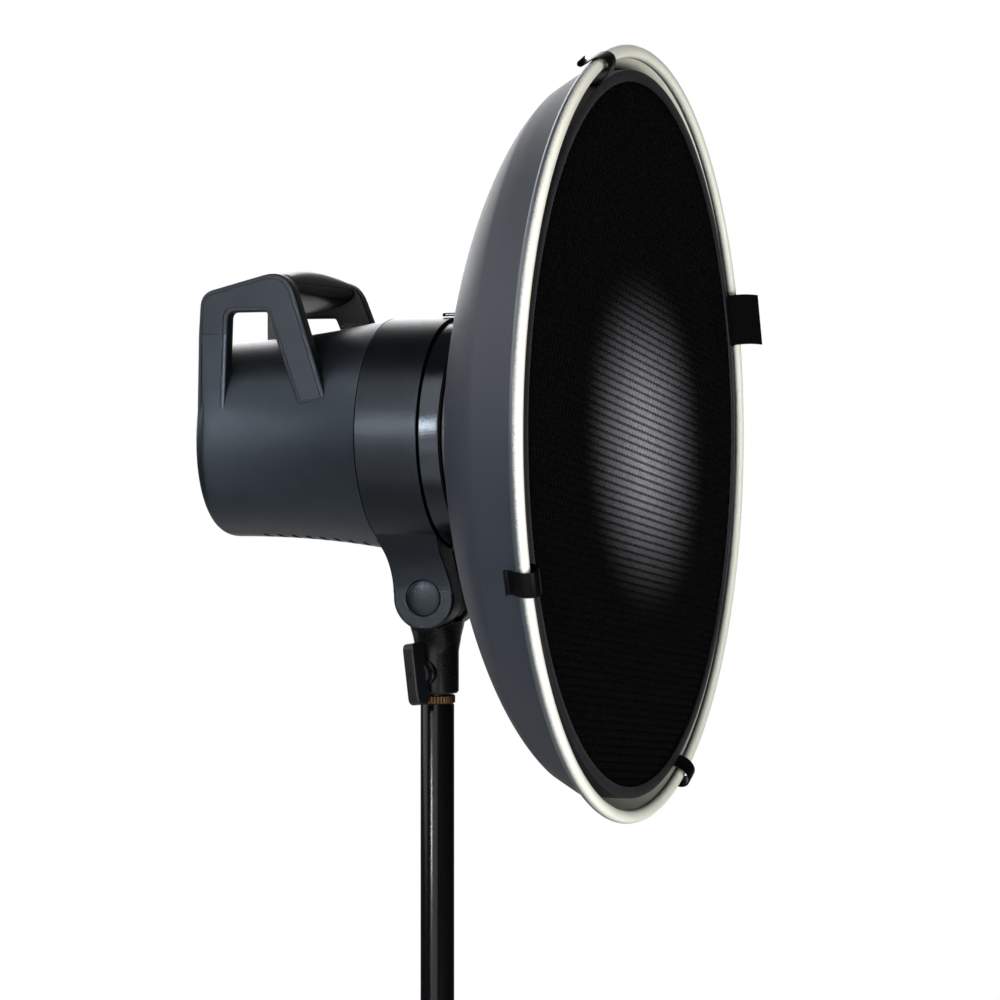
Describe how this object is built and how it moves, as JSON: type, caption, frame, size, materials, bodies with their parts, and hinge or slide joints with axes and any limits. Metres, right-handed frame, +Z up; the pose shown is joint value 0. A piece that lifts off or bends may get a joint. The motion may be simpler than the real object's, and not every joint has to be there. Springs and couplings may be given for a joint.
{
  "type": "monolight strobe",
  "caption": "Mains studio flash head with a top handle and rear controls, on a tilting stand adapter, fitted with a wide shallow dish reflector and a honeycomb grid",
  "frame": {"origin": "the centre of the stand socket's mouth", "axes": "+X is the way the light points, +Y is the left side of the head, +Z is up"},
  "size_m": [0.2878, 0.4396, 0.4396],
  "materials": {
    "housing": "fine-textured blue-grey moulded plastic",
    "collar": "fine-textured charcoal moulded plastic",
    "black_plastic": "satin black moulded plastic",
    "grip": "soft-touch black plastic",
    "webbing": "black woven webbing",
    "dish_paint": "satin blue-grey powder coat outside, cream hammered paint inside and on the bead",
    "black_metal": "satin black paint on metal",
    "honeycomb": "black anodised aluminium foil",
    "white_paint": "cream white hammered paint",
    "steel": "zinc-plated steel",
    "aluminium": "plain aluminium",
    "board": "green circuit board",
    "sleeve": "blue capacitor sleeve",
    "copper": "lacquered copper winding",
    "key": "pale grey moulded key",
    "ceramic": "glazed ceramic",
    "glass": "clear glass",
    "frosted_glass": "frosted glass",
    "lens": "dark red translucent lens",
    "screen": "dark display window"
  },
  "bodies": {
    "stand_base": {"stand_adapter": "black_metal", "friction_washer_left": "steel", "friction_washer_right": "steel"},
    "head": {"rear_housing": "housing", "front_collar": "collar", "handle_side_left": "housing", "handle_side_right": "housing", "grip_top": "grip", "grip_bottom": "grip", "grip_screw": "steel", "pivot_bolt": "steel", "pivot_cap": "collar", "rear_panel": "black_plastic", "display_window": "screen", "display_module": "black_plastic", "control_board": "board", "mains_inlet": "black_plastic", "fuse_holder": "black_plastic", "sync_socket": "steel", "photocell_lens": "lens", "panel_screw_1": "steel", "panel_screw_2": "steel", "panel_screw_3": "steel", "panel_screw_4": "steel", "chassis_plate": "aluminium", "fan_frame": "black_plastic", "capacitor_left": "sleeve", "capacitor_right": "sleeve", "main_board": "board", "transformer": "copper", "front_plate": "aluminium", "bayonet_mount": "aluminium", "lamp_socket": "ceramic", "modelling_lamp": "glass", "flash_tube": "glass", "glass_dome": "frosted_glass"},
    "clamp_screw": {"clamp_pad": "steel"},
    "clamp_handle": {"clamp_knob": "black_plastic"},
    "tilt_lock": {"tilt_handle": "black_plastic"},
    "lock_ring": {"lock_ring": "collar"},
    "dish": {"dish_shell": "dish_paint", "dish_mount_ring": "black_metal", "deflector_disc": "white_paint", "deflector_posts": "steel"},
    "grid": {"grid_ring": "black_metal", "honeycomb_core": "honeycomb", "grid_clip_left": "black_metal", "grid_clip_top": "black_metal", "grid_clip_right": "black_metal", "grid_clip_bottom": "black_metal", "pull_tab": "webbing"},
    "dial": {"control_dial": "black_plastic"},
    "menu_key": {"menu_button": "key"},
    "flash_test_key": {"flash_test_button": "key"},
    "modelling_lamp_key": {"modelling_lamp_button": "key"},
    "cell_key": {"cell_button": "key"},
    "power_switch": {"power_rocker": "black_plastic"},
    "fan": {"fan_impeller": "black_plastic"},
    "fuse": {"fuse_cap": "black_plastic"}
  },
  "joints": [
    {"name": "head_tilt", "type": "hinge", "parent": "stand_base", "child": "head", "pos_m": [0, 0, 0.0565], "axis": [0, 1, 0], "range_deg": [-60, 30]},
    {"name": "clamp_travel", "type": "slide", "parent": "stand_base", "child": "clamp_screw", "axis": [0.2588, 0.9659, 0], "range_m": [-0.0025, 0]},
    {"name": "clamp_turn", "type": "hinge", "parent": "clamp_screw", "child": "clamp_handle", "pos_m": [0, 0, 0.0124], "axis": [0.2588, 0.9659, 0], "range_deg": [-720, 0]},
    {"name": "tilt_lock_turn", "type": "hinge", "parent": "head", "child": "tilt_lock", "pos_m": [0, 0.03, 0.0565], "axis": [0, 1, 0], "range_deg": [-40, 40]},
    {"name": "lock_ring_turn", "type": "hinge", "parent": "head", "child": "lock_ring", "pos_m": [0.019, 0, 0.151], "axis": [1, 0, 0], "range_deg": [-20, 0]},
    {"name": "dish_removal", "type": "slide", "parent": "head", "child": "dish", "axis": [1, 0, 0], "range_m": [0, 0.09]},
    {"name": "grid_removal", "type": "slide", "parent": "dish", "child": "grid", "axis": [1, 0, 0], "range_m": [0, 0.03], "deforming": ["grid_clip_left", "grid_clip_top", "grid_clip_right", "grid_clip_bottom"]},
    {"name": "dial_turn", "type": "hinge", "parent": "head", "child": "dial", "pos_m": [-0.1318, 0, 0.1487], "axis": [1, 0, 0], "continuous": true},
    {"name": "menu_press", "type": "slide", "parent": "head", "child": "menu_key", "axis": [1, 0, 0], "range_m": [0, 0.001], "stiffness_N_per_m": 700},
    {"name": "flash_test_press", "type": "slide", "parent": "head", "child": "flash_test_key", "axis": [1, 0, 0], "range_m": [0, 0.001], "stiffness_N_per_m": 700},
    {"name": "modelling_lamp_press", "type": "slide", "parent": "head", "child": "modelling_lamp_key", "axis": [1, 0, 0], "range_m": [0, 0.001], "stiffness_N_per_m": 700},
    {"name": "cell_press", "type": "slide", "parent": "head", "child": "cell_key", "axis": [1, 0, 0], "range_m": [0, 0.001], "stiffness_N_per_m": 700},
    {"name": "power_rock", "type": "hinge", "parent": "head", "child": "power_switch", "pos_m": [-0.1288, -0.015, 0.1227], "axis": [0, 1, 0], "range_deg": [-16, 0]},
    {"name": "fan_spin", "type": "hinge", "parent": "head", "child": "fan", "pos_m": [-0.05, 0, 0.151], "axis": [1, 0, 0], "continuous": true},
    {"name": "fuse_cap_turn", "type": "hinge", "parent": "head", "child": "fuse", "pos_m": [-0.1318, 0.033, 0.1337], "axis": [1, 0, 0], "range_deg": [0, 90]}
  ],
  "couplings": [
    {"joint": "clamp_turn", "follows": "clamp_travel", "rad_per_m": 5026.5}
  ]
}
